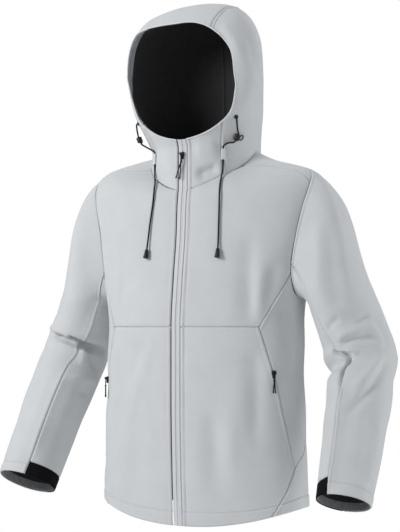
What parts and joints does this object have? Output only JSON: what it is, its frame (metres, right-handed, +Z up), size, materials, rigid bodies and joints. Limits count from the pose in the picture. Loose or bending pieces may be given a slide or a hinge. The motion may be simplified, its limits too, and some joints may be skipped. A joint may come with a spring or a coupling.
{
  "type": "hooded jacket",
  "caption": "Hooded softshell jacket in its worn shape, with a full-length front zip, slanted zip pockets, hood drawcords with locks, sewn panels and banded cuffs.",
  "frame": {"origin": "middle of the neck opening, level with the side neck points, where the wearer's neck holds the jacket", "axes": "+Z up from hem to hood, -Y out of the front, +X to the wearer's left"},
  "size_m": [0.7877, 0.2864, 0.9778],
  "materials": {
    "shell_cloth": "smooth matt woven",
    "black_fleece": "brushed",
    "black_trim": "satin"
  },
  "bodies": {
    "jacket": {"back": "shell_cloth", "hood_centre": "shell_cloth", "front_upper_left": "shell_cloth", "front_upper_right": "shell_cloth", "front_lower_left": "shell_cloth", "front_lower_right": "shell_cloth", "side_left": "shell_cloth", "side_right": "shell_cloth", "sleeve_outer_left": "shell_cloth", "sleeve_outer_right": "shell_cloth", "sleeve_under_left": "shell_cloth", "sleeve_under_right": "shell_cloth", "collar_left": "shell_cloth", "collar_right": "shell_cloth", "hood_side_left": "shell_cloth", "hood_side_right": "shell_cloth", "zip_tape_left": "shell_cloth", "zip_tape_right": "shell_cloth", "cord_tab_left": "shell_cloth", "cord_tab_right": "shell_cloth", "hood_lining_left": "black_fleece", "hood_lining_right": "black_fleece", "cuff_lining_left": "black_fleece", "cuff_lining_right": "black_fleece", "cuff_band_left": "black_fleece", "cuff_band_right": "black_fleece", "zip_slider": "black_trim", "pocket_left_slider": "black_trim", "pocket_right_slider": "black_trim", "eyelet_left": "black_trim", "eyelet_right": "black_trim", "cord_upper_left": "black_trim", "cord_upper_right": "black_trim", "cord_lock_left": "black_trim", "cord_lock_right": "black_trim", "cord_middle_left": "black_trim", "cord_middle_right": "black_trim", "cord_hanging_left": "black_trim", "cord_hanging_right": "black_trim", "cord_end_left": "black_trim", "cord_end_right": "black_trim"},
    "zip_pull": {"zip_pull": "black_trim"},
    "pocket_left_pull": {"pocket_left_pull": "black_trim"},
    "pocket_right_pull": {"pocket_right_pull": "black_trim"}
  },
  "joints": [
    {"name": "zip_pull_swing", "type": "hinge", "parent": "jacket", "child": "zip_pull", "pos_m": [0, -0.0917, 0.0005], "axis": [-1, 0, 0], "range_deg": [0, 110]},
    {"name": "pocket_left_pull_swing", "type": "hinge", "parent": "jacket", "child": "pocket_left_pull", "pos_m": [0.18201, -0.07013, -0.40192], "axis": [-0.7396, -0.6731, 0], "range_deg": [0, 110]},
    {"name": "pocket_right_pull_swing", "type": "hinge", "parent": "jacket", "child": "pocket_right_pull", "pos_m": [-0.18585, -0.06685, -0.41891], "axis": [-0.7074, 0.7068, 0], "range_deg": [0, 110]}
  ]
}
